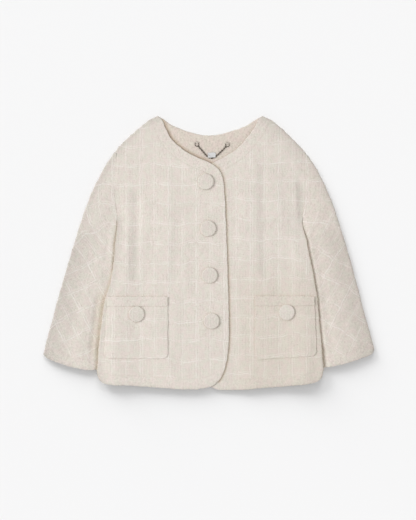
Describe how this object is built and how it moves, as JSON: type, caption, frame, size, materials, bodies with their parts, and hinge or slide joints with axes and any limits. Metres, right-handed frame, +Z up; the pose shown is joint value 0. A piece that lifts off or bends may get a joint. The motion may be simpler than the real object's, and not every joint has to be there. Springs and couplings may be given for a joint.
{
  "type": "cropped tweed jacket",
  "caption": "Collarless cropped tweed jacket, buttoned and laid flat on its back, with long sleeves, covered buttons and buttoned patch pockets.",
  "frame": {"origin": "centre of the laid jacket's box, on the surface it lies on", "axes": "+X towards the wearer's left sleeve, +Y from hem to neck, +Z up out of the jacket's front"},
  "size_m": [0.615, 0.5084, 0.0208],
  "materials": {
    "tweed": "cream and beige bouclé tweed with a pale check",
    "tweed_inside": "the same tweed as a facing, in the shade of the neck",
    "chain_metal": "dark polished metal",
    "label_white": "plain white woven tape"
  },
  "bodies": {
    "root": {"back": "tweed", "front_right": "tweed", "front_left": "tweed", "sleeve_right": "tweed", "sleeve_left": "tweed", "back_neck_facing": "tweed_inside", "pocket_right": "tweed", "pocket_left": "tweed", "pocket_band_right": "tweed", "pocket_band_left": "tweed", "button_1": "tweed", "button_2": "tweed", "button_3": "tweed", "button_4": "tweed", "pocket_button_right": "tweed", "pocket_button_left": "tweed", "hanger_chain": "chain_metal", "hanger_ring_right": "chain_metal", "hanger_ring_left": "chain_metal", "hanger_label": "label_white"}
  },
  "joints": []
}
